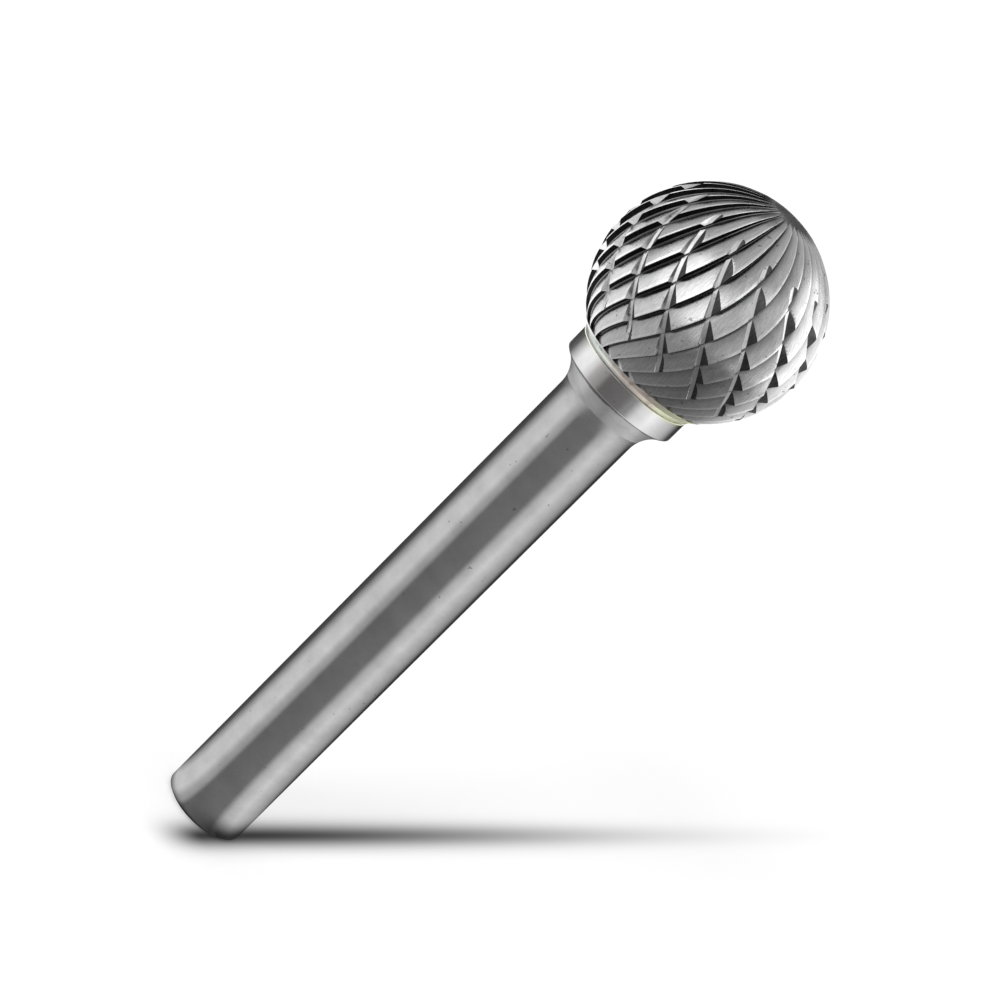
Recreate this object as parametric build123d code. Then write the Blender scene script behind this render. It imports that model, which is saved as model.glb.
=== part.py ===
"""Ball-shaped rotary burr: a fluted tungsten-carbide ball brazed onto a ground steel shank.

Millimetres. +Z runs along the burr's axis from the shank's flat end to the cutting end, and the
origin is the centre of that flat end. Latitude and longitude are measured on the cutting ball:
latitude from its equator, positive toward the cutting end, and longitude around +Z from -Y,
positive toward +X.
"""

import os
from math import asin, atan, cos, degrees, radians, sin, sqrt, tan

from build123d import *

# Driving dimensions ---------------------------------------------------------------------------
BALL_D = 15.875  # 5/8 in cutting head
SHANK_D = 6.35  # 1/4 in collet size
OVERALL_LENGTH = 58.74  # 2-5/16 in

# Shank, turned in one with the collar that carries the head
COLLAR_D = 9.2
COLLAR_LENGTH = 1.63
COLLAR_EDGE_CHAMFER = 0.08
FLARE_RADIUS = 2.6  # concave blend from the collar down to the shank
SHANK_END_CHAMFER = 0.3

# Braze between the collar and the head
BRAZE_THICKNESS = 0.35

# Carbide head
HEAD_BASE_STEP = 0.15  # how far the head's brazed face reaches beyond the collar
PLAIN_RIM_LENGTH = 0.35  # unfluted, between the brazed face and the ends of the flutes

# Cutting flutes: right-hand spiral, sections given as shares of the pitch at each latitude
FLUTE_COUNT = 30
FLUTE_START_LAT = 81.0
FLUTE_RUNOUT_LAT = 68.0  # the flutes grow shallower from here toward the pole
FLUTE_SWELL = 0.15
EDGE_RELIEF = 0.01  # how far the cutting edges lie under the plain cap at the pole
FLUTE_DEPTH_SHARE = 0.31
FLUTE_DRIFT = 15.0  # degrees of longitude that a flute drifts from the pole to the equator
FLUTE_DRIFT_POWER = 2.7
FLUTE_LON = 4.6  # longitude at which one cutting edge would reach the pole
RAKE_SLOPE = 8.0  # degrees between the rake face and the radius
HEEL_SHARE = 0.25  # gullet's back wall meets the land here
HEEL_DROP_SHARE = 0.215  # how far the land's heel lies under the cutting edge

# Chip breakers: left-hand spiral of narrow-floored notches across the teeth
BREAKER_COUNT = 15
BREAKER_START_LAT = 50.0
BREAKER_END_LAT = -32.0
BREAKER_START_RUNOUT = 20.0  # degrees of latitude over which it sinks in, and rises again
BREAKER_END_RUNOUT = 6.0
BREAKER_DEPTH = 0.4
BREAKER_FLOOR = 0.16
BREAKER_STEEP_RUN = 0.22  # width of the wall toward the shank, and of the one opposite
BREAKER_SLOPED_RUN = 0.62
BREAKER_SLOPE = 0.62  # degrees of longitude per degree of latitude, at the equator
BREAKER_CURVE = 0.0022  # easing of that slope per degree of latitude
BREAKER_LON = 9.3  # where one of them crosses the equator

CUTTER_PROUD = 0.2  # how far the breakers' cutter stands outside the ball
CAP_TRIM_MARGIN = 6.0  # degrees that the trim of the pole starts before the run-out
SECTION_STEP = 8.0  # degrees of latitude between a cutting tool's sections

# Worked out from them -------------------------------------------------------------------------
BALL_R = BALL_D / 2
SHANK_R = SHANK_D / 2
COLLAR_R = COLLAR_D / 2
BALL_Z = OVERALL_LENGTH - BALL_R
HEAD_BASE_R = COLLAR_R + HEAD_BASE_STEP
HEAD_BASE_DEPTH = sqrt(BALL_R**2 - HEAD_BASE_R**2)
HEAD_BASE_Z = BALL_Z - HEAD_BASE_DEPTH
EDGE_R = BALL_R - EDGE_RELIEF
FLUTE_END_LAT = -degrees(asin((HEAD_BASE_DEPTH - PLAIN_RIM_LENGTH) / EDGE_R))
COLLAR_TOP_Z = HEAD_BASE_Z - BRAZE_THICKNESS
COLLAR_BASE_Z = COLLAR_TOP_Z - COLLAR_LENGTH
FLARE_RISE = COLLAR_R - SHANK_R
FLARE_LENGTH = sqrt(FLARE_RADIUS**2 - (FLARE_RADIUS - FLARE_RISE) ** 2)
FLARE_BASE_Z = COLLAR_BASE_Z - FLARE_LENGTH


def steel_shank():
    """Ground shank, concave flare and collar, as one turned piece."""
    half_angle = asin(FLARE_LENGTH / FLARE_RADIUS) / 2
    flare_mid = (
        SHANK_R + FLARE_RADIUS * (1 - cos(half_angle)),
        FLARE_BASE_Z + FLARE_RADIUS * sin(half_angle),
    )
    with BuildPart() as shank:
        with BuildSketch(Plane.XZ):
            with BuildLine():
                Polyline(
                    (0, 0),
                    (SHANK_R - SHANK_END_CHAMFER, 0),
                    (SHANK_R, SHANK_END_CHAMFER),
                    (SHANK_R, FLARE_BASE_Z),
                )
                ThreePointArc((SHANK_R, FLARE_BASE_Z), flare_mid, (COLLAR_R, COLLAR_BASE_Z))
                Polyline(
                    (COLLAR_R, COLLAR_BASE_Z),
                    (COLLAR_R, COLLAR_TOP_Z - COLLAR_EDGE_CHAMFER),
                    (COLLAR_R - COLLAR_EDGE_CHAMFER, COLLAR_TOP_Z),
                    (0, COLLAR_TOP_Z),
                    (0, 0),
                )
            make_face()
        revolve(axis=Axis.Z)
    return shank.part


def braze_joint():
    """Thin layer of braze, from the collar's chamfered edge out to the head's."""
    with BuildPart() as braze:
        with BuildSketch(Plane.XZ):
            with BuildLine():
                Polyline(
                    (0, COLLAR_TOP_Z),
                    (COLLAR_R - COLLAR_EDGE_CHAMFER, COLLAR_TOP_Z),
                    (HEAD_BASE_R, HEAD_BASE_Z),
                    (0, HEAD_BASE_Z),
                    (0, COLLAR_TOP_Z),
                )
            make_face()
        revolve(axis=Axis.Z)
    return braze.part


def on_ball(lat, lon):
    """Unit vector from the ball's centre toward a latitude and longitude, in degrees."""
    a, b = radians(lat), radians(lon)
    return Vector(cos(a) * sin(b), -cos(a) * cos(b), sin(a))


def latitudes(start, end):
    """Latitudes from start to end, evenly spaced at about one section step."""
    steps = round(abs(end - start) / SECTION_STEP)
    return [start + (end - start) * i / steps for i in range(steps + 1)]


def flute_lon(lat):
    """Longitude of a cutting edge, which curves away as it runs back from the pole."""
    return FLUTE_LON - FLUTE_DRIFT * ((90 - lat) / 90) ** FLUTE_DRIFT_POWER


def tooth_corners(lat):
    """Corners of one tooth's level section, where its cutting edge has this latitude.

    From the cutting edge down the rake face and up the gullet's back wall to the heel of the
    land, which rises to the next cutting edge. Toward the pole it swells out of the ball.
    """
    swell = max(0.0, (lat - FLUTE_RUNOUT_LAT) / (FLUTE_START_LAT - FLUTE_RUNOUT_LAT))
    edge_r = EDGE_R + FLUTE_SWELL * swell**2
    level = edge_r * sin(radians(lat))
    sideways = (flute_lon(lat + 0.5) - flute_lon(lat - 0.5)) * cos(radians(lat))
    pitch = radians(360 / FLUTE_COUNT) * BALL_R * cos(radians(lat)) * cos(atan(sideways))
    outline = [
        (0, 0),
        (FLUTE_DEPTH_SHARE * tan(radians(RAKE_SLOPE)), FLUTE_DEPTH_SHARE),
        (HEEL_SHARE, HEEL_DROP_SHARE),
    ]
    corners = []
    for share, drop in outline:
        lon = radians(flute_lon(lat) + share * 360 / FLUTE_COUNT)
        r = sqrt((edge_r - drop * pitch) ** 2 - level**2)
        corners.append(Vector(r * sin(lon), -r * cos(lon), BALL_Z + level))
    return corners


def toothed_body():
    """Solid inside all the flutes, each face ruled between two rails along a tooth."""
    turn = 360 / FLUTE_COUNT
    sections = [tooth_corners(lat) for lat in latitudes(FLUTE_END_LAT, FLUTE_START_LAT)]
    rails = [Edge.make_spline(list(rail)) for rail in zip(*sections)]
    rails.append(rails[0].rotate(Axis.Z, turn))
    strips = [Face.make_surface_from_curves(a, b) for a, b in zip(rails, rails[1:])]
    faces = [strip.rotate(Axis.Z, i * turn) for i in range(FLUTE_COUNT) for strip in strips]
    for section in (sections[0], sections[-1]):
        outline = [c.rotate(Axis.Z, i * turn) for i in range(FLUTE_COUNT) for c in section]
        faces.append(Face(Wire.make_polygon(outline)))
    return Solid(Shell(faces))


def breaker_lon(lat):
    return BREAKER_LON - BREAKER_SLOPE * lat + BREAKER_CURVE * lat**2


def breaker_cutter():
    """One notch across the teeth, sinking in slowly and running out at its ends."""
    widen = 1 + CUTTER_PROUD / BREAKER_DEPTH
    floor = BREAKER_FLOOR / 2
    low, high = -floor - BREAKER_STEEP_RUN * widen, floor + BREAKER_SLOPED_RUN * widen
    centre = Vector(0, 0, BALL_Z)
    sections = []
    for lat in latitudes(BREAKER_START_LAT, BREAKER_END_LAT):
        out = on_ball(lat, breaker_lon(lat))
        ahead = on_ball(lat + 0.5, breaker_lon(lat + 0.5))
        behind = on_ball(lat - 0.5, breaker_lon(lat - 0.5))
        across = (ahead - behind).cross(out).normalized()
        sinking = (BREAKER_START_LAT - lat) / BREAKER_START_RUNOUT
        rising = (lat - BREAKER_END_LAT) / BREAKER_END_RUNOUT
        root = centre + out * (BALL_R - BREAKER_DEPTH * min(1.0, sinking, rising))
        top = centre + out * (BALL_R + CUTTER_PROUD)
        corners = [top + across * low, root - across * floor]
        corners += [root + across * floor, top + across * high]
        sections.append(Face(Wire.make_polygon(corners)))
    return loft(sections)


def ball_point(level):
    """Point of the ball's profile at a level above or below its centre."""
    return (sqrt(BALL_R**2 - level**2), BALL_Z + level)


def cap_trim():
    """What lies outside the ball around its pole, where the swelling teeth leave it."""
    low = BALL_R * sin(radians(FLUTE_RUNOUT_LAT - CAP_TRIM_MARGIN))
    middle = BALL_R * sin(radians((90 + FLUTE_RUNOUT_LAT - CAP_TRIM_MARGIN) / 2))
    pole = (0, BALL_Z + BALL_R)
    wide = ball_point(low)[0] + 2 * FLUTE_SWELL
    top = BALL_Z + BALL_R + 2 * FLUTE_SWELL
    with BuildPart() as trim:
        with BuildSketch(Plane.XZ):
            with BuildLine():
                Polyline(ball_point(low), (wide, BALL_Z + low), (wide, top), (0, top), pole)
                ThreePointArc(pole, ball_point(middle), ball_point(low))
            make_face()
        revolve(axis=Axis.Z)
    return trim.part


def plain_rim():
    """Unfluted end of the ball, down to the face that is brazed."""
    base = -HEAD_BASE_DEPTH
    top = base + PLAIN_RIM_LENGTH
    with BuildPart() as rim:
        with BuildSketch(Plane.XZ):
            with BuildLine():
                Polyline(ball_point(top), (0, BALL_Z + top), (0, HEAD_BASE_Z), ball_point(base))
                ThreePointArc(ball_point(base), ball_point((top + base) / 2), ball_point(top))
            make_face()
        revolve(axis=Axis.Z)
    return rim.part


def carbide_head():
    """Fluted ball with its plain rim, its smooth pole and its chip breakers."""
    breaker = breaker_cutter()
    breakers = [Rot(0, 0, 360 * i / BREAKER_COUNT) * breaker for i in range(BREAKER_COUNT)]
    return toothed_body() - cap_trim() + plain_rim() - breakers


PARTS = {
    "steel_shank": steel_shank,
    "braze_joint": braze_joint,
    "carbide_head": carbide_head,
}

os.makedirs("parts", exist_ok=True)
for name, make in PARTS.items():
    export_step(make(), f"parts/{name}.step")
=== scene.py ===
import math

import bpy
import numpy as np
from mathutils import Matrix, Vector

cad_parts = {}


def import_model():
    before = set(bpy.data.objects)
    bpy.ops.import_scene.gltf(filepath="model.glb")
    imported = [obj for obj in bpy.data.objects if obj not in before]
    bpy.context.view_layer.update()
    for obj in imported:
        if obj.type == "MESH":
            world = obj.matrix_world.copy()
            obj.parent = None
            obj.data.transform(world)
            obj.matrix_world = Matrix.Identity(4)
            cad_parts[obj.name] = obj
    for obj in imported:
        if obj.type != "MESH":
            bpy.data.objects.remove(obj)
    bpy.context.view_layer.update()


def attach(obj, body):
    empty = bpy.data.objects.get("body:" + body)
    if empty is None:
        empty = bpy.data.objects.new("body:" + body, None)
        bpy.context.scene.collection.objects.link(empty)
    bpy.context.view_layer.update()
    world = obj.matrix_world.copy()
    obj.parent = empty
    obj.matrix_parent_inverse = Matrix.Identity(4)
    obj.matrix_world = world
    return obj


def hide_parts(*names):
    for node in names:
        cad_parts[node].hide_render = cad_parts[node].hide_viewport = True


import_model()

# The burr, in millimetres and degrees. It stands on Z = 0, and its axis is Z. --------------------
MM = 0.001
OVERALL_LENGTH = 58.74
BALL_R = 15.875 / 2
BALL_Z = OVERALL_LENGTH - BALL_R
SHANK_R = 6.35 / 2
END_CHAMFER = 0.3
COLLAR_R = 9.2 / 2
COLLAR_LENGTH = 1.63
BRAZE_THICKNESS = 0.35
HEAD_BASE_STEP = 0.15  # how far the head's base stands out beyond the collar
HEAD_BASE_R = COLLAR_R + HEAD_BASE_STEP
HEAD_BASE_DEPTH = math.sqrt(BALL_R**2 - HEAD_BASE_R**2)  # under the ball's centre
HEAD_BASE_Z = BALL_Z - HEAD_BASE_DEPTH
COLLAR_TOP_Z = HEAD_BASE_Z - BRAZE_THICKNESS
COLLAR_BASE_Z = COLLAR_TOP_Z - COLLAR_LENGTH
FLARE_RADIUS = 2.6  # of the hollow curve between shank and collar
FLARE_LENGTH = math.sqrt(FLARE_RADIUS**2 - (FLARE_RADIUS - (COLLAR_R - SHANK_R)) ** 2)
FLARE_BASE_Z = COLLAR_BASE_Z - FLARE_LENGTH
EASED_EDGE = 0.07  # how far the edges of shank and collar are eased

# Braze
BRAZE_FOOT_INSET = 0.07  # how far its foot, and the slope above it, start inside the collar's edge
BRAZE_SLOPE_INSET = 0.05
BRAZE_BULGE = 0.03  # how far it is squeezed out halfway up, on average
BRAZE_SKIN = 0.015  # its thickness where it has crept up the head's rim
BRAZE_CLIMB = 0.5  # how far it has crept up, on average, at the longitude below
BRAZE_CLIMB_SIDE = 48.0
BRAZE_CLIMB_SWAY = 0.25
BRAZE_WAVES = (2, 3, 5, 8, 13, 21, 34)  # waves of its unevenness around the burr

# Flutes. The sizes of a tooth's section are shares of the pitch from tooth to tooth.
FLUTE_COUNT = 30
FLUTE_LON = 4.6  # longitude of a cutting edge at the pole, and how far it turns by the equator
FLUTE_DRIFT = 15.0
FLUTE_DRIFT_POWER = 2.7
FLUTE_START_LAT = 81.0  # where the flutes begin, and where they have their full depth
FLUTE_RUNOUT_LAT = 68.0
FLUTE_SWELL = 0.15  # how far the section is raised out of the ball where the flutes begin
PLAIN_RIM_LENGTH = 0.35
EDGE_RELIEF = 0.012  # how far the cutting edges lie under the plain cap at the pole
EDGE_R = BALL_R - EDGE_RELIEF
FLUTE_END_LAT = -math.degrees(math.asin((HEAD_BASE_DEPTH - PLAIN_RIM_LENGTH) / EDGE_R))
RAKE_ANGLE = 8.0
DEPTH_SHARE = 0.31
RAKE_SHARE = DEPTH_SHARE * math.tan(math.radians(RAKE_ANGLE))
HEEL_SHARE = 0.25  # where the gullet's back wall meets the land, and how deep that is
HEEL_DROP_SHARE = 0.215
MARGIN_SHARE = 0.05  # narrow land of full radius behind each cutting edge
CREST_ROUND = 0.008  # the section is averaged over this much to each side at the cutting edge,
GULLET_ROUND = 0.05  # and over up to this much away from it
# Where one tooth has its columns of points
TOOTH_COLUMNS = (0, 0.01, 0.022, 0.036, 0.05, 0.066, 0.084, 0.105, 0.14, 0.19, 0.23, 0.27, 0.32,
                 0.45, 0.6, 0.75, 0.88, 0.95, 0.985)
RAKE_COLUMNS = 4  # strips of the section that make up the rake face

# Chip breakers, which notch the teeth diagonally
BREAKER_COUNT = 15
BREAKER_LON = 9.3  # longitude at the equator, and how it changes with the latitude
BREAKER_SLOPE = 0.62
BREAKER_CURVE = 0.0022
BREAKER_START_LAT = 50.0
BREAKER_END_LAT = -32.0
BREAKER_START_RUNOUT = 20.0  # degrees of latitude over which the notch reaches its depth
BREAKER_END_RUNOUT = 6.0
BREAKER_DEPTH = 0.4
BREAKER_FLOOR = 0.24
BREAKER_STEEP_RUN = 0.2  # width of the wall toward the shank, and of the one toward the pole
BREAKER_SLOPED_RUN = 0.56
CUTTER_PROUD = 0.2  # how far the cutters stand out of the ball

# Meshes
ROUND_SEGMENTS = 192
FACE_RING = 0.6  # distance from a flat face's edge to its inner ring of points
ROW_STEP = 1.25  # degrees of latitude between rows of the ball's mesh
FIRST_ROW_LAT = FLUTE_START_LAT + 6  # the first row, on the smooth cap
RIM_ROWS = 5
HALF_DEGREE = 0.5  # to each side, for the direction of a flute or chip breaker
BREAKER_STEPS = 60

LAND, RAKE, STEEP_WALL, SLOPED_WALL = range(4)  # the head's finishes, in the order of its materials; the rake's and the sloped wall's colours are painted shade


# Mesh helpers ------------------------------------------------------------------------------------
def new_object(name, points_mm, faces, sharp_angle=None, finishes=None):
    """Object from points in millimetres and faces, shaded smooth between its sharp edges."""
    mesh = bpy.data.meshes.new(name)
    mesh.from_pydata([tuple(MM * c for c in p) for p in points_mm], [], faces)
    if finishes:
        mesh.polygons.foreach_set("material_index", finishes)
    mesh.shade_smooth()
    if sharp_angle is not None:
        mesh.set_sharp_from_angle(angle=math.radians(sharp_angle))
    obj = bpy.data.objects.new(name, mesh)
    bpy.context.collection.objects.link(obj)
    return obj


def lathe(name, profile, sharp_angle, shift=None):
    """Closed turned piece from (radius, z) pairs that start and end on the axis.

    shift moves such a pair at each angle, which makes the piece uneven.
    """
    angles = [2 * math.pi * i / ROUND_SEGMENTS for i in range(ROUND_SEGMENTS)]
    rings = profile[1:-1]
    points = [(0, 0, profile[0][1])]
    for r, z in rings:
        for angle in angles:
            r_here, z_here = shift(angle, r, z) if shift else (r, z)
            points.append((r_here * math.sin(angle), -r_here * math.cos(angle), z_here))
    points.append((0, 0, profile[-1][1]))
    last = len(points) - 1
    top = 1 + (len(rings) - 1) * ROUND_SEGMENTS
    faces = []
    for i in range(ROUND_SEGMENTS):
        j = (i + 1) % ROUND_SEGMENTS
        faces.append((0, 1 + j, 1 + i))
        for low in range(1, top, ROUND_SEGMENTS):
            high = low + ROUND_SEGMENTS
            faces.append((low + i, low + j, high + j, high + i))
        faces.append((top + i, top + j, last))
    return new_object(name, points, faces, sharp_angle)


def arc(centre, radius, start, end, steps):
    """(radius, z) points along an arc in the profile's plane, angles in degrees."""
    angles = [math.radians(start + (end - start) * i / steps) for i in range(steps + 1)]
    return [(centre[0] + radius * math.cos(a), centre[1] + radius * math.sin(a)) for a in angles]


def on_ball(lat, lon):
    """Direction from the ball's centre; longitude 0 faces the camera's side, -Y."""
    a, b = math.radians(lat), math.radians(lon)
    return Vector((math.cos(a) * math.sin(b), -math.cos(a) * math.cos(b), math.sin(a)))


# Materials ---------------------------------------------------------------------------------------
class Nodes:
    """A material's node tree, with short calls to add and link nodes."""

    def __init__(self, name):
        self.material = bpy.data.materials.new(name)
        self.material.use_nodes = True
        self.tree = self.material.node_tree
        self.shader = self.tree.nodes["Principled BSDF"]

    def add(self, kind, **settings):
        """A new node. Each setting is the value of a socket of that name, or else a property."""
        node = self.tree.nodes.new(kind)
        for key, value in settings.items():
            if key in node.inputs:
                node.inputs[key].default_value = value
            else:
                setattr(node, key, value)
        return node

    def link(self, out, into):
        self.tree.links.new(out, into)
        return into.node

    def math(self, operation, *values):
        node = self.add("ShaderNodeMath", operation=operation)
        for socket, value in zip(node.inputs, values):
            if isinstance(value, (int, float)):
                socket.default_value = value
            else:
                self.link(value, socket)
        return node.outputs[0]

    # Where a point is, in the object's own coordinates

    def place(self):
        return self.add("ShaderNodeTexCoord").outputs["Object"]

    def split(self, vector):
        return self.link(vector, self.add("ShaderNodeSeparateXYZ").inputs[0]).outputs

    def height(self):
        return self.split(self.place())["Z"]

    def azimuth(self):
        """Angle around the axis in radians, 0 on the camera's side and rising to its right."""
        x, y, _ = self.split(self.place())
        return self.math("ARCTAN2", x, self.math("MULTIPLY", y, -1.0))

    def from_axis(self):
        flat = self.add("ShaderNodeVectorMath", operation="MULTIPLY")
        self.link(self.place(), flat.inputs[0])
        flat.inputs[1].default_value = (1, 1, 0)
        length = self.add("ShaderNodeVectorMath", operation="LENGTH")
        self.link(flat.outputs[0], length.inputs[0])
        return length.outputs["Value"]

    def around_ball(self, per_radian, per_radius):
        """Coordinates around the ball's axis and along it, each at its own scale."""
        high = self.math("SUBTRACT", self.height(), BALL_Z * MM)
        high = self.math("DIVIDE", high, BALL_R * MM)
        joined = self.add("ShaderNodeCombineXYZ")
        self.link(self.math("MULTIPLY", self.azimuth(), per_radian), joined.inputs[0])
        self.link(self.math("MULTIPLY", high, per_radius), joined.inputs[1])
        return joined.outputs[0]

    def depth_on_ball(self):
        """Depth under the cutting edges, in pitches of the teeth at that latitude."""
        centred = self.add("ShaderNodeVectorMath", operation="SUBTRACT")
        self.link(self.place(), centred.inputs[0])
        centred.inputs[1].default_value = (0, 0, BALL_Z * MM)
        from_centre = self.add("ShaderNodeVectorMath", operation="LENGTH")
        self.link(centred.outputs[0], from_centre.inputs[0])
        depth = self.math("SUBTRACT", EDGE_R * MM, from_centre.outputs["Value"])
        pitch = self.math("MULTIPLY", self.from_axis(), 2 * math.pi / FLUTE_COUNT)
        return self.math("DIVIDE", depth, pitch)

    # Values that run over the surface

    def noise(self, scale, stretch=(1, 1, 1), detail=3.0, roughness=0.6, vector=None):
        mapping = self.add("ShaderNodeMapping", Scale=stretch)
        texture = self.add("ShaderNodeTexNoise", Scale=scale, Detail=detail, Roughness=roughness)
        self.link(vector or self.place(), mapping.inputs["Vector"])
        self.link(mapping.outputs["Vector"], texture.inputs["Vector"])
        return texture.outputs["Fac"]

    def spread(self, noise, low, high):
        """Maps the middle range of a noise onto low to high."""
        node = self.add("ShaderNodeMapRange")
        node.inputs["From Min"].default_value = 0.3
        node.inputs["From Max"].default_value = 0.7
        node.inputs["To Min"].default_value = low
        node.inputs["To Max"].default_value = high
        self.link(noise, node.inputs["Value"])
        return node.outputs["Result"]

    def fade(self, length, start_mm, end_mm):
        """Smoothly from 0 where a length is the start to 1 where it is the end."""
        node = self.add("ShaderNodeMapRange", interpolation_type="SMOOTHSTEP")
        node.inputs["From Min"].default_value = start_mm * MM
        node.inputs["From Max"].default_value = end_mm * MM
        self.link(length, node.inputs["Value"])
        return node.outputs["Result"]

    def ramp(self, value, stops):
        """Colours from (value, colour) stops in rising order; a plain number is a grey."""
        node = self.add("ShaderNodeValToRGB")
        elements = node.color_ramp.elements
        elements.remove(elements[1])
        for number, (at, colour) in enumerate(stops):
            element = elements.new(at) if number else elements[0]
            element.position = at
            rgb = colour if isinstance(colour, tuple) else (colour, colour, colour)
            element.color = (*rgb, 1)
        self.link(value, node.inputs["Fac"])
        return node.outputs["Color"]

    def turn(self):
        """Azimuth as a share of a whole turn, 0.5 on the camera's side."""
        return self.math("MULTIPLY_ADD", self.azimuth(), 0.5 / math.pi, 0.5)

    def by_azimuth(self, stops):
        """A value around the burr, from (azimuth in degrees, value) stops."""
        return self.ramp(self.turn(), [((azimuth + 180) / 360, value) for azimuth, value in stops])

    # What they do to the surface

    def tint(self, noise, dark, light):
        colours = self.ramp(noise, [(0.3, dark), (0.7, light)])
        self.link(colours, self.shader.inputs["Base Color"])

    def mix_into_colour(self, blend, factor, colour):
        """Blends another colour into the surface's colour so far; both may run over the surface."""
        mix = self.add("ShaderNodeMix", data_type="RGBA", blend_type=blend)
        self.link(self.shader.inputs["Base Color"].links[0].from_socket, mix.inputs["A"])
        for socket, value in ((mix.inputs["Factor"], factor), (mix.inputs["B"], colour)):
            if isinstance(value, (float, tuple)):
                socket.default_value = value
            else:
                self.link(value, socket)
        self.link(mix.outputs["Result"], self.shader.inputs["Base Color"])

    def darken(self, factor):
        """Multiplies the colour so far."""
        self.mix_into_colour("MULTIPLY", 1.0, factor)

    def stain(self, amount, colour):
        """Mixes the colour so far towards another."""
        self.mix_into_colour("MIX", amount, (*colour, 1))

    def specks(self, scale, rarity, darkness):
        """Small dark pits and grains."""
        grains = self.noise(scale, detail=2, roughness=0.5)
        self.darken(self.ramp(grains, [(rarity, 1.0), (rarity + 0.04, darkness)]))

    def roughen(self, value):
        self.link(value, self.shader.inputs["Roughness"])

    def bump(self, value, distance_mm):
        node = self.add("ShaderNodeBump", Strength=1.0, Distance=distance_mm * MM)
        self.link(value, node.inputs["Height"])
        self.link(node.outputs["Normal"], self.shader.inputs["Normal"])


def carbide(name, dark, light, smooth, rough, painted_shade_by_depth=None):
    """Ground carbide, finely lined from pole to base, with ranges of brightness and roughness.

    A ramp of painted shade, if given, sets its brightness from the cutting edge down to the gullet,
    in pitches of depth; it is lightest along the cutting edge. A finish that has it also gets
    painted shade on the cap at the pole.
    """
    m = Nodes(name)
    m.shader.inputs["Metallic"].default_value = 1.0
    lines = m.around_ball(per_radian=90, per_radius=12)
    m.tint(m.noise(1.0, detail=6, vector=lines), dark, light)
    m.specks(2600, rarity=0.68, darkness=0.5)
    if painted_shade_by_depth:
        # Painted shade: darker down into the gullets, lightest along the cutting edge, and darker
        # on the cap at the pole
        m.darken(m.ramp(m.depth_on_ball(), painted_shade_by_depth))
        m.darken(m.ramp(m.fade(m.from_axis(), 0.9, 2.5), [(0, 0.5), (1, 1.0)]))
    m.roughen(m.spread(m.noise(900, detail=4), smooth, rough))
    m.bump(m.noise(3.0, detail=3, vector=lines), 0.004)
    return m.material


def head_materials():
    """The head's finishes, in the order of LAND, RAKE, STEEP_WALL and SLOPED_WALL."""
    # The land's ramp is painted shade by depth
    land_painted_shade_by_depth = [(0, 1.0), (0.012, 0.95), (0.03, 0.72), (0.11, 0.64), (0.18, 0.46),
                     (0.25, 0.25), (0.3, 0.13)]
    return (carbide("carbide_land_painted_shade", (0.66, 0.66, 0.67), (1.0, 1.0, 1.0), 0.18, 0.34, land_painted_shade_by_depth),
            # Painted shade: the rake's near black and the sloped wall's dark grey
            carbide("carbide_rake_painted_shade", (0.004, 0.004, 0.004), (0.02, 0.02, 0.02), 0.5, 0.65),
            carbide("carbide_steep_wall", (0.55, 0.55, 0.55), (0.75, 0.75, 0.75), 0.25, 0.4),
            carbide("carbide_sloped_wall_painted_shade", (0.05, 0.05, 0.05), (0.12, 0.12, 0.12), 0.4, 0.55))


def steel_material():
    """Ground steel, bright on the collar and dull on the turned flare under it."""
    m = Nodes("ground_steel")
    m.shader.inputs["Metallic"].default_value = 1.0
    m.tint(m.noise(420, (1, 1, 1.4), detail=7), (0.78, 0.78, 0.78), (0.94, 0.94, 0.94))
    m.specks(2200, rarity=0.715, darkness=0.6)

    z = m.height()
    below_collar = m.fade(z, COLLAR_BASE_Z + 0.04, COLLAR_BASE_Z)
    on_flare = m.fade(z, FLARE_BASE_Z - 0.5, FLARE_BASE_Z + 0.9)
    on_flare = m.math("MULTIPLY", on_flare, below_collar)
    m.darken(m.ramp(below_collar, [(0, 1.0), (1, 0.65)]))
    mottled = m.spread(m.noise(520, (1, 1, 2.2), detail=6), 0.0, 0.55)
    m.stain(m.math("MULTIPLY", on_flare, mottled), (0.3, 0.3, 0.3))

    # Painted shade: a dark line in the corner under the collar
    uneven = m.spread(m.noise(420, detail=4), -0.16, 0.2)
    uneven_z = m.math("MULTIPLY_ADD", uneven, MM, z)
    corner_shade = m.fade(uneven_z, COLLAR_BASE_Z - 0.2, COLLAR_BASE_Z - 0.04)
    corner_shade = m.math("MULTIPLY", corner_shade, below_collar)
    m.stain(m.math("MULTIPLY", corner_shade, 0.9), (0.07, 0.07, 0.07))

    # Braze spilt over the collar's top edge
    spilt = m.fade(uneven_z, COLLAR_TOP_Z - 0.32, COLLAR_TOP_Z + 0.02)
    around = m.by_azimuth([(-100, 0.35), (-60, 0.55), (-20, 0.25), (15, 0.5), (60, 0.9),
                           (110, 0.5)])
    m.stain(m.math("MULTIPLY", spilt, around), (0.9, 0.92, 0.7))

    # A darker, brownish patch on one part of the collar
    darker_patch = m.by_azimuth([(-36, 0.0), (-26, 0.6), (-6, 0.62), (8, 0.5), (13, 0.0)])
    on_collar = m.fade(z, COLLAR_BASE_Z, COLLAR_BASE_Z + 0.05)
    m.stain(m.math("MULTIPLY", darker_patch, on_collar), (0.3, 0.26, 0.26))

    polish = m.spread(m.noise(900, (1, 1, 14)), 0.1, 0.17)
    m.roughen(m.math("MULTIPLY_ADD", on_flare, 0.22, polish))
    m.bump(m.noise(700, (1, 1, 30), detail=2), 0.002)
    return m.material


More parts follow.
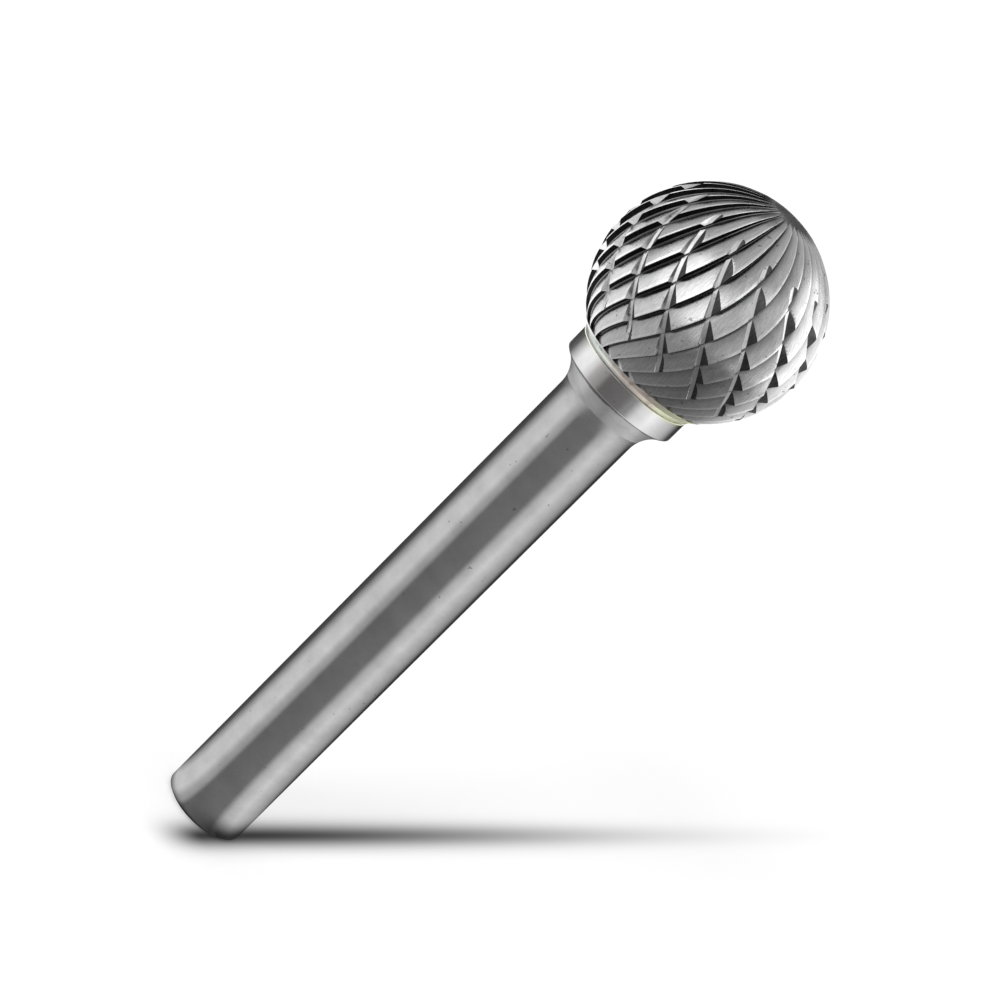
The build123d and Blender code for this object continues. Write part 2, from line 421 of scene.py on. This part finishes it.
def braze_material():
    """Braze that runs from a whitish green at one side over copper to a yellow green."""
    m = Nodes("braze")
    m.shader.inputs["Metallic"].default_value = 0.7
    copper, lime, pale = (0.84, 0.74, 0.66), (0.97, 1.0, 0.72), (0.86, 0.93, 0.86)
    around = m.math("ADD", m.turn(), m.spread(m.noise(300, detail=5), -0.05, 0.05))
    colours = m.ramp(around, [(0.3, pale), (0.42, pale), (0.48, copper), (0.54, copper),
                              (0.6, lime), (0.75, lime), (0.9, pale)])
    m.link(colours, m.shader.inputs["Base Color"])

    # Its lower half looks like steel on the sides where the layer looks thin
    uneven = m.spread(m.noise(600, detail=4), -0.07, 0.07)
    uneven_z = m.math("MULTIPLY_ADD", uneven, MM, m.height())
    lower_half = m.fade(uneven_z, COLLAR_TOP_Z + 0.24, COLLAR_TOP_Z + 0.14)
    thin = m.by_azimuth([(-130, 0.9), (-10, 0.9), (24, 0.2), (100, 0.2), (140, 0.9)])
    m.stain(m.math("MULTIPLY", lower_half, thin), (0.56, 0.56, 0.55))

    dirt = m.ramp(m.noise(900, detail=4), [(0.56, 0.0), (0.68, 0.6)])
    m.stain(dirt, (0.3, 0.26, 0.2))
    m.roughen(m.spread(m.noise(1500), 0.35, 0.6))
    m.bump(m.noise(1600, detail=4), 0.03)
    return m.material


# Carbide head ------------------------------------------------------------------------------------
def flute_lon(lat):
    return FLUTE_LON - FLUTE_DRIFT * ((90 - lat) / 90) ** FLUTE_DRIFT_POWER


def breaker_lon(lat):
    return BREAKER_LON - BREAKER_SLOPE * lat + BREAKER_CURVE * lat**2


def tooth_drops():
    """How deep each column lies under the cutting edge, with eased corners, in pitches."""
    corners_at = (0, RAKE_SHARE, HEEL_SHARE, 1 - MARGIN_SHARE, 1)
    corners_drop = (0, DEPTH_SHARE, HEEL_DROP_SHARE, 0, 0)
    drops = []
    for column in TOOTH_COLUMNS:
        from_edge = min(column, 1 - column)
        ease = min(max(CREST_ROUND, 0.8 * from_edge), GULLET_ROUND)
        around = (column + np.linspace(-ease, ease, 17)) % 1.0
        drops.append(float(np.interp(around, corners_at, corners_drop).mean()))
    return drops


def flute_pitch(lat):
    """Pitch of the teeth in millimetres, square to them."""
    pitch = math.radians(360 / FLUTE_COUNT) * BALL_R * math.cos(math.radians(lat))
    sideways = flute_lon(lat + HALF_DEGREE) - flute_lon(lat - HALF_DEGREE)
    return pitch * math.cos(math.atan(sideways * math.cos(math.radians(lat))))


def tooth_lons(lat):
    """Longitudes of all columns of all teeth."""
    start = flute_lon(lat)
    return [start + (tooth + share) * 360 / FLUTE_COUNT
            for tooth in range(FLUTE_COUNT) for share in TOOTH_COLUMNS]


def carbide_head():
    """Fluted ball, row by row from the pole to the brazed face, then notched by the breakers."""
    drops = tooth_drops()
    rows = round((FIRST_ROW_LAT - FLUTE_END_LAT) / ROW_STEP)
    points = [(0, 0, BALL_Z + BALL_R)]
    for row in range(rows + 1):
        lat = FIRST_ROW_LAT + (FLUTE_END_LAT - FIRST_ROW_LAT) * row / rows
        swell = max(0.0, (lat - FLUTE_RUNOUT_LAT) / (FLUTE_START_LAT - FLUTE_RUNOUT_LAT))
        edge_r = EDGE_R + FLUTE_SWELL * swell**2
        pitch = flute_pitch(lat)
        for lon, drop in zip(tooth_lons(lat), drops * FLUTE_COUNT):
            p = on_ball(lat, lon) * min(BALL_R, edge_r - drop * pitch)
            points.append((p.x, p.y, BALL_Z + p.z))
    rim_levels = np.linspace(-(HEAD_BASE_DEPTH - PLAIN_RIM_LENGTH), -HEAD_BASE_DEPTH, RIM_ROWS)
    for level in rim_levels:
        r = math.sqrt(BALL_R**2 - level**2)
        for lon in tooth_lons(FLUTE_END_LAT):
            angle = math.radians(lon)
            points.append((r * math.sin(angle), -r * math.cos(angle), BALL_Z + level))
    points.append((0, 0, HEAD_BASE_Z))

    last = len(points) - 1
    columns = len(drops) * FLUTE_COUNT
    bands = rows + RIM_ROWS
    bottom = 1 + bands * columns
    faces, finishes = [], []
    for i in range(columns):
        j = (i + 1) % columns
        on_rake = i % len(drops) < RAKE_COLUMNS
        faces.append((0, 1 + i, 1 + j))
        finishes.append(LAND)
        for band in range(bands):
            high, low = 1 + band * columns, 1 + (band + 1) * columns
            faces.append((high + i, low + i, low + j, high + j))
            finishes.append(RAKE if on_rake and band < rows else LAND)
        faces.append((bottom + i, last, bottom + j))
        finishes.append(LAND)
    head = new_object("burr_head", points, faces, finishes=finishes)
    for material in head_materials():
        head.data.materials.append(material)
    notch(head)
    head.data.shade_smooth()
    head.data.set_sharp_from_angle(angle=math.radians(28))
    return head


def breaker_section():
    """Corners of a cutter, across it, each with whether it lies outside the ball or at the root."""
    widen = 1 + CUTTER_PROUD / BREAKER_DEPTH
    low, high = -BREAKER_FLOOR / 2, BREAKER_FLOOR / 2
    return ((low - BREAKER_STEEP_RUN * widen, True), (low, False), (high, False),
            (high + BREAKER_SLOPED_RUN * widen, True))


def on_breaker(lat, turn):
    """Direction from the ball's centre to the middle line of the chip breaker at that turn."""
    return on_ball(lat, breaker_lon(lat) + turn)


def breaker_cutters():
    """The cutters of all chip breakers, as one mesh."""
    section = breaker_section()
    wall_finishes = (STEEP_WALL, STEEP_WALL, SLOPED_WALL, LAND)  # wall, floor, wall, lid
    corners = len(section)
    points, faces, finishes = [], [], []
    for breaker in range(BREAKER_COUNT):
        turn = 360 * breaker / BREAKER_COUNT
        base = len(points)
        for step in range(BREAKER_STEPS + 1):
            lat = BREAKER_START_LAT + (BREAKER_END_LAT - BREAKER_START_LAT) * step / BREAKER_STEPS
            out = on_breaker(lat, turn)
            along = on_breaker(lat + HALF_DEGREE, turn) - on_breaker(lat - HALF_DEGREE, turn)
            across = along.cross(out).normalized()
            sinking = (BREAKER_START_LAT - lat) / BREAKER_START_RUNOUT
            rising = (lat - BREAKER_END_LAT) / BREAKER_END_RUNOUT
            root = BALL_R - BREAKER_DEPTH * min(1.0, sinking, rising)
            for sideways, outside in section:
                r = BALL_R + CUTTER_PROUD if outside else root
                corner = out * r + across * sideways
                points.append((corner.x, corner.y, BALL_Z + corner.z))
        for step in range(BREAKER_STEPS):
            a, b = base + corners * step, base + corners * (step + 1)
            for k in range(corners):
                m = (k + 1) % corners
                faces.append((a + k, a + m, b + m, b + k))
                finishes.append(wall_finishes[k])
        end = base + corners * BREAKER_STEPS
        faces.append(tuple(base + k for k in reversed(range(corners))))
        faces.append(tuple(end + k for k in range(corners)))
        finishes += [LAND, LAND]
    return new_object("breaker_cutters", points, faces, finishes=finishes)


def notch(head):
    """Cuts the chip breakers into the head, whose walls keep their own finishes."""
    cutters = breaker_cutters()
    for material in head.data.materials:
        cutters.data.materials.append(material)
    cut = head.modifiers.new("breakers", "BOOLEAN")
    cut.operation = "DIFFERENCE"
    cut.solver = "MANIFOLD"
    cut.object = cutters
    bpy.context.view_layer.update()
    evaluated = head.evaluated_get(bpy.context.evaluated_depsgraph_get())
    result = bpy.data.meshes.new_from_object(evaluated)
    head.modifiers.clear()
    head.data = result
    bpy.data.objects.remove(cutters)


# Shank and braze ---------------------------------------------------------------------------------
def shank():
    """Ground shank, flare and collar, with eased edges."""
    ease = EASED_EDGE
    flare_angle = math.degrees(math.asin(FLARE_LENGTH / FLARE_RADIUS))
    profile = [(0, 0), (SHANK_R - END_CHAMFER - ease, 0)]
    profile += arc((SHANK_R - END_CHAMFER - ease, ease * 2), ease * 2, -90, -45, 4)
    profile += arc((SHANK_R - ease * 2, END_CHAMFER), ease * 2, -45, 0, 4)
    profile += [(SHANK_R, z) for z in np.linspace(END_CHAMFER + ease, FLARE_BASE_Z - ease, 24)]
    flare = arc((SHANK_R + FLARE_RADIUS, FLARE_BASE_Z), FLARE_RADIUS, 180, 180 - flare_angle, 20)
    profile += flare[:-1]
    profile += arc((COLLAR_R - ease, COLLAR_BASE_Z + ease), ease, -60, 0, 4)
    profile += [(COLLAR_R, COLLAR_BASE_Z + 2 * ease), (COLLAR_R, COLLAR_TOP_Z - 2 * ease)]
    profile += arc((COLLAR_R - ease, COLLAR_TOP_Z - ease), ease, 0, 90, 4)
    profile += [(COLLAR_R - FACE_RING, COLLAR_TOP_Z), (0, COLLAR_TOP_Z)]
    return lathe("burr_shank", profile, sharp_angle=35)


def braze():
    """Braze between collar and head, squeezed out unevenly and higher on one side of the head."""
    phases = np.random.default_rng(4).uniform(0, 2 * math.pi, len(BRAZE_WAVES))

    def sway(angle):
        """Unevenness between -1 and 1."""
        return sum(math.sin(n * angle + p) / n**0.5 for n, p in zip(BRAZE_WAVES, phases)) / 3

    def squeeze(angle, r, z):
        if z <= HEAD_BASE_Z:
            share = (z - COLLAR_TOP_Z) / BRAZE_THICKNESS
            return r + 4 * BRAZE_BULGE * share * (1 - share) * (1 + sway(angle)), z
        side = 0.5 + 0.5 * math.cos(angle - math.radians(BRAZE_CLIMB_SIDE))
        climb = side**2 * (1 + BRAZE_CLIMB_SWAY * sway(angle))
        z = HEAD_BASE_Z + (z - HEAD_BASE_Z) * climb
        return math.sqrt(BALL_R**2 - (BALL_Z - z) ** 2) + BRAZE_SKIN, z

    start_r = COLLAR_R - BRAZE_SLOPE_INSET
    end_r = HEAD_BASE_R + BRAZE_SKIN
    profile = [(0, COLLAR_TOP_Z), (COLLAR_R - BRAZE_FOOT_INSET, COLLAR_TOP_Z)]
    for share in np.linspace(0, 1, 9)[1:]:
        r = start_r + (end_r - start_r) * share
        profile.append((r, COLLAR_TOP_Z + BRAZE_THICKNESS * share))
    for share in np.linspace(0, 1, 5)[1:]:
        profile.append((HEAD_BASE_R, HEAD_BASE_Z + BRAZE_CLIMB * share))
    profile += [(HEAD_BASE_R - FACE_RING, HEAD_BASE_Z), (0, HEAD_BASE_Z)]
    return lathe("burr_braze", profile, sharp_angle=60, shift=squeeze)


def dress(obj, node, material=None):
    """Puts a piece in the place of the frame's plain solid."""
    if material:
        obj.data.materials.append(material)
    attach(obj, "root")
    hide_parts(node)


dress(carbide_head(), "carbide_head")
dress(shank(), "steel_shank", steel_material())
dress(braze(), "braze_joint", braze_material())


# Stage. Azimuths are in degrees, 0 on the camera's side of the burr and rising to its right. -----
CAMERA_TILT = 16.98  # degrees that the camera looks down onto the standing burr
CAMERA_ROLL = 44.93  # the burr's axis runs to the upper right of the frame
CAMERA_DISTANCE = 200.0
CAMERA_AIM = Vector((-0.498, 0.0, 31.32))
FOCAL_PIXELS = 2982.3
IMAGE_PIXELS = 1000.0
MIDDLE_Z = 30.0  # what the lamp and the cards face
KEY_AZIMUTH = -24.0
WORLD_LIGHT = 0.6
FLOOR_SIZE = 6000.0
FLOOR_COLOUR = 0.9
FLOOR_GLOW = 0.38  # what the camera and the metal see of the floor beyond its lit colour
PAINTED_SHADOW_WIDTH = 1.25  # painted shadow: a soft dark streak in the floor's colour, past the burr's foot and away from the key
PAINTED_SHADOW_LENGTH = 60.0
PAINTED_SHADOW_ASIDE = 2.55
PAINTED_SHADOW_DARKEST = 0.95
PAINTED_SHADOW_NEAR_END = -9.5  # it rises from nothing here to its darkest at the next number
PAINTED_SHADOW_FULL = -2.5
FOOT_CARD_Z = 0.05  # the card that the shank reflects lies on the floor,
FLARE_CARD_Z = FLARE_BASE_Z + 0.86  # and the flare's crosses its lower half


def aim(obj, location, target, roll=0.0):
    """Puts an object at a point and turns it, as a camera or lamp, to look at a target."""
    back = (location - target).normalized()
    side = Vector((0, 0, 1)).cross(back).normalized()
    up = back.cross(side)
    turn = math.radians(roll)
    right = side * math.cos(turn) + up * math.sin(turn)
    turned = Matrix((right, back.cross(right), back)).transposed().to_4x4()
    obj.matrix_world = Matrix.Translation(location * MM) @ turned


def camera():
    data = bpy.data.cameras.new("camera")
    data.sensor_width = 36.0
    data.lens = FOCAL_PIXELS / IMAGE_PIXELS * data.sensor_width
    data.clip_start, data.clip_end = 0.01, 100.0
    obj = bpy.data.objects.new("camera", data)
    bpy.context.collection.objects.link(obj)
    tilt = math.radians(CAMERA_TILT)
    back = Vector((0, -math.cos(tilt), math.sin(tilt)))
    aim(obj, CAMERA_AIM + back * CAMERA_DISTANCE, CAMERA_AIM, CAMERA_ROLL)
    bpy.context.scene.camera = obj


def face_burr(obj, azimuth, elevation, distance):
    """Puts a lamp or card around the burr, facing its middle."""
    a, e = math.radians(azimuth), math.radians(elevation)
    location = Vector((distance * math.cos(e) * math.sin(a), -distance * math.cos(e) * math.cos(a),
                       MIDDLE_Z + distance * math.sin(e)))
    aim(obj, location, Vector((0, 0, MIDDLE_Z)))


def far_key(azimuth, elevation, softness, strength):
    """Large soft light far away, of even strength, that casts the shadow."""
    data = bpy.data.lights.new("key", "SUN")
    data.energy = strength
    data.angle = math.radians(softness)
    obj = bpy.data.objects.new("key", data)
    bpy.context.collection.objects.link(obj)
    face_burr(obj, azimuth, elevation, 1000)
    obj.visible_glossy = False


def flat(name, width, length):
    x, y = width / 2, length / 2
    return new_object(name, [(-x, -y, 0), (x, -y, 0), (x, y, 0), (-x, y, 0)], [(0, 1, 2, 3)])


def seen_in_metal(obj, brightness):
    """Turns a flat piece into a studio card that only reflections see.

    Its brightness is a number, or a function that makes it from the material's nodes.
    """
    m = Nodes(obj.name)
    m.tree.nodes.remove(m.shader)
    glow = m.add("ShaderNodeEmission")
    if isinstance(brightness, float):
        glow.inputs["Strength"].default_value = brightness
    else:
        m.link(brightness(m), glow.inputs["Strength"])
    m.link(glow.outputs[0], m.tree.nodes["Material Output"].inputs[0])
    obj.data.materials.append(m.material)
    obj.visible_camera = obj.visible_diffuse = obj.visible_shadow = False


def card(name, azimuth, elevation, width, length, brightness, distance=300):
    obj = flat(name, width, length)
    face_burr(obj, azimuth, elevation, distance)
    seen_in_metal(obj, brightness)


def ground_cards(name, z, size, bands, painted_shadow_at_foot=None):
    """Dark and white strips that lie around the burr, from (azimuth, brightness) stops."""
    obj = flat(name, size, size)
    obj.location.z = z * MM

    def brightness(m):
        value = m.by_azimuth(bands)
        # The value at the foot is a painted contact shadow
        return m.math("MULTIPLY", value, painted_shadow_at_foot(m)) if painted_shadow_at_foot else value

    seen_in_metal(obj, brightness)


def beside_painted_contact_shadow(m):
    """Brightness around the burr's foot with a painted contact shadow, dark in a thin ring and
    further out on the shaded side.
    """
    close = m.fade(m.from_axis(), SHANK_R + 4.5, SHANK_R + 0.6)
    shaded_side = m.by_azimuth([(-25, 0.0), (20, 0.6), (45, 0.95), (140, 0.95), (165, 0.0)])
    ring = m.math("MULTIPLY", m.fade(m.from_axis(), SHANK_R + 1.2, SHANK_R), 0.8)
    dark = m.math("MAXIMUM", m.math("MULTIPLY", close, shaded_side), ring)
    return m.math("SUBTRACT", 1.0, dark)


def beside_painted_shadow(m):
    """1 on the open floor, and less in a painted shadow, a soft streak that runs from the burr's
    foot.
    """
    turned = m.add("ShaderNodeMapping", vector_type="TEXTURE")
    turned.inputs["Rotation"].default_value = (0, 0, math.radians(KEY_AZIMUTH))
    m.link(m.place(), turned.inputs["Vector"])
    across, along, _ = m.split(turned.outputs[0])
    across = m.math("DIVIDE", m.math("SUBTRACT", across, PAINTED_SHADOW_ASIDE * MM), PAINTED_SHADOW_WIDTH * MM)
    far = m.math("DIVIDE", m.math("MAXIMUM", along, 0.0), PAINTED_SHADOW_LENGTH * MM)
    spread = m.math("ADD", m.math("MULTIPLY", across, across), m.math("MULTIPLY", far, far))
    painted_shadow = m.math("EXPONENT", m.math("MULTIPLY", spread, -1.0))
    painted_shadow = m.math("MULTIPLY", painted_shadow, m.fade(along, PAINTED_SHADOW_NEAR_END, PAINTED_SHADOW_FULL))
    return m.math("MULTIPLY_ADD", painted_shadow, -PAINTED_SHADOW_DARKEST, 1.0)


def floor():
    """Pale floor that reads as white, with a painted shadow, the soft streak, in its colour and its
    glow.
    """
    obj = flat("floor", FLOOR_SIZE, FLOOR_SIZE)
    m = Nodes("floor")
    m.shader.inputs["Roughness"].default_value = 0.9
    m.shader.inputs["Specular IOR Level"].default_value = 0.0
    m.shader.inputs["Emission Color"].default_value = (1, 1, 1, 1)
    path = m.add("ShaderNodeLightPath")
    seen = m.math("MAXIMUM", path.outputs["Is Camera Ray"], path.outputs["Is Glossy Ray"])
    seen = m.math("MAXIMUM", seen, path.outputs["Is Transmission Ray"])
    # pale is 1 on the open floor and less in the painted shadow
    pale = beside_painted_shadow(m)
    glow = m.math("MULTIPLY", m.math("MULTIPLY", pale, FLOOR_GLOW), seen)
    m.link(glow, m.shader.inputs["Emission Strength"])
    m.link(m.ramp(pale, [(0, 0.0), (1, FLOOR_COLOUR)]), m.shader.inputs["Base Color"])
    obj.data.materials.append(m.material)


def world():
    scene_world = bpy.data.worlds.new("world")
    scene_world.use_nodes = True
    background = scene_world.node_tree.nodes["Background"]
    background.inputs["Strength"].default_value = WORLD_LIGHT
    background.inputs["Color"].default_value = (1, 1, 1, 1)
    bpy.context.scene.world = scene_world


camera()
floor()
world()
far_key(KEY_AZIMUTH, elevation=30, softness=14, strength=0.85)
card("left", azimuth=-58, elevation=22, width=480, length=200, brightness=1.7)
card("right", azimuth=92, elevation=33, width=260, length=420, brightness=1.8)
card("behind_right", azimuth=130, elevation=12, width=220, length=150, brightness=1.4)
card("front_card", azimuth=8, elevation=14, width=110, length=110, brightness=0.55, distance=190)
card("front_high", azimuth=2, elevation=50, width=130, length=110, brightness=1.3)
card("back_card", azimuth=-174, elevation=28, width=200, length=250, brightness=0.12)

around_shank = [(-180, 0.35), (-160, 0.04), (-128, 0.12), (-92, 0.9), (-58, 0.95), (-44, 0.6),
                (-34, 0.5), (-26, 0.2), (32, 0.24), (46, 0.72), (72, 1.0), (122, 0.45),
                (144, 0.04), (160, 0.04), (180, 0.35)]
around_head = [(-180, 0.7), (-130, 1.35), (-70, 1.25), (-35, 0.6), (-8, 0.24), (30, 0.14),
               (64, 0.3), (95, 1.1), (160, 1.1)]
around_flare = [(-90, 0.2), (-72, 0.6), (-40, 0.95), (-22, 0.55), (5, 0.4), (22, 0.7), (50, 1.0),
                (70, 0.5), (90, 0.2)]
ground_cards("ground_cards", FOOT_CARD_Z, 900, around_shank, painted_shadow_at_foot=beside_painted_contact_shadow)
ground_cards("ball_cards", HEAD_BASE_Z, 120, around_head)
ground_cards("flare_card", FLARE_CARD_Z, 14, around_flare)
bpy.context.scene.view_settings.view_transform = "Standard"
